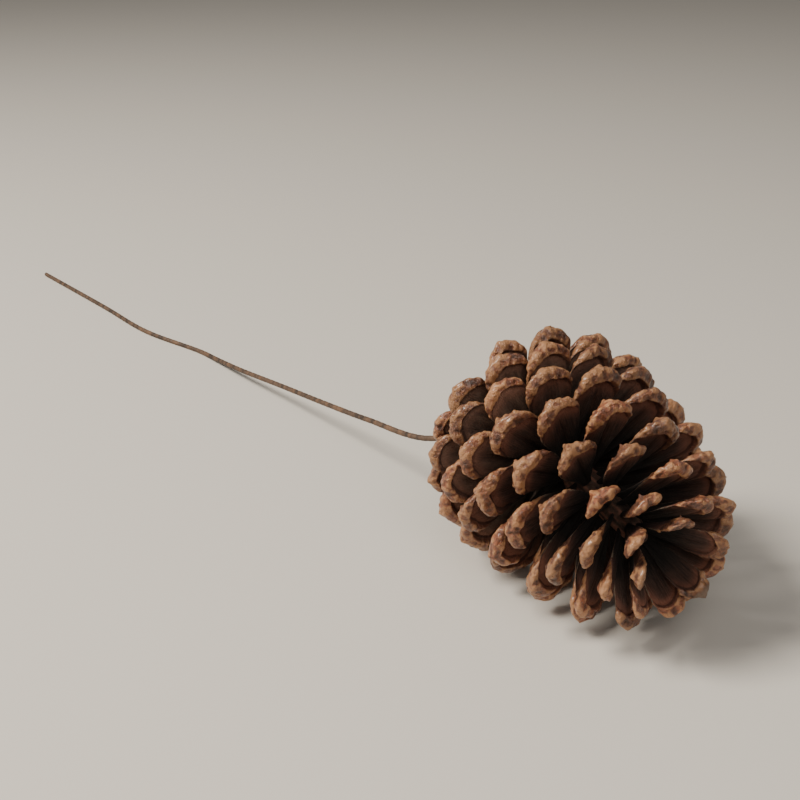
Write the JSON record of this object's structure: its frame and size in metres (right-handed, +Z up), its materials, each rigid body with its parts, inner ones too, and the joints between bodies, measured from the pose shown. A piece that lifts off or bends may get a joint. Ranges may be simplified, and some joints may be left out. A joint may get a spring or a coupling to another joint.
{
  "type": "pine cone",
  "caption": "Open woody pine cone lying on its side, with thick-lipped scales spiralling round its axis and a thin wrapped wire stem out of its base.",
  "frame": {"origin": "centre of the whole part's footprint, on the surface it lies on", "axes": "+Z up; +X along the cone's axis from base to apex, seen from above, with the wire running back along -X; +Y to its left"},
  "size_m": [0.3852, 0.1178, 0.0689],
  "materials": {
    "scale_wood": "satin lips over matt dark faces",
    "axis_wood": "matt, dark and fibrous",
    "wrapped_wire": "matt brown wrapping"
  },
  "bodies": {
    "root": {"cone_axis": "axis_wood", "scale_013": "scale_wood", "scale_014": "scale_wood", "scale_015": "scale_wood", "scale_016": "scale_wood", "scale_017": "scale_wood", "scale_018": "scale_wood", "scale_019": "scale_wood", "scale_020": "scale_wood", "scale_021": "scale_wood", "scale_022": "scale_wood", "scale_023": "scale_wood", "scale_024": "scale_wood", "scale_025": "scale_wood", "scale_026": "scale_wood", "scale_027": "scale_wood", "scale_028": "scale_wood", "scale_029": "scale_wood", "scale_030": "scale_wood", "scale_031": "scale_wood", "scale_032": "scale_wood", "scale_033": "scale_wood", "scale_034": "scale_wood", "scale_035": "scale_wood", "scale_036": "scale_wood", "scale_037": "scale_wood", "scale_038": "scale_wood", "scale_039": "scale_wood", "scale_040": "scale_wood", "scale_041": "scale_wood", "scale_042": "scale_wood", "scale_043": "scale_wood", "scale_044": "scale_wood", "scale_045": "scale_wood", "scale_046": "scale_wood", "scale_047": "scale_wood", "scale_048": "scale_wood", "scale_049": "scale_wood", "scale_050": "scale_wood", "scale_051": "scale_wood", "scale_052": "scale_wood", "scale_053": "scale_wood", "scale_054": "scale_wood", "scale_055": "scale_wood", "scale_056": "scale_wood", "scale_057": "scale_wood", "scale_058": "scale_wood", "scale_059": "scale_wood", "scale_060": "scale_wood", "scale_061": "scale_wood", "scale_062": "scale_wood", "scale_063": "scale_wood", "scale_064": "scale_wood", "scale_065": "scale_wood", "scale_066": "scale_wood", "scale_067": "scale_wood", "scale_068": "scale_wood", "scale_069": "scale_wood", "scale_070": "scale_wood", "wire_stem": "wrapped_wire"}
  },
  "joints": []
}
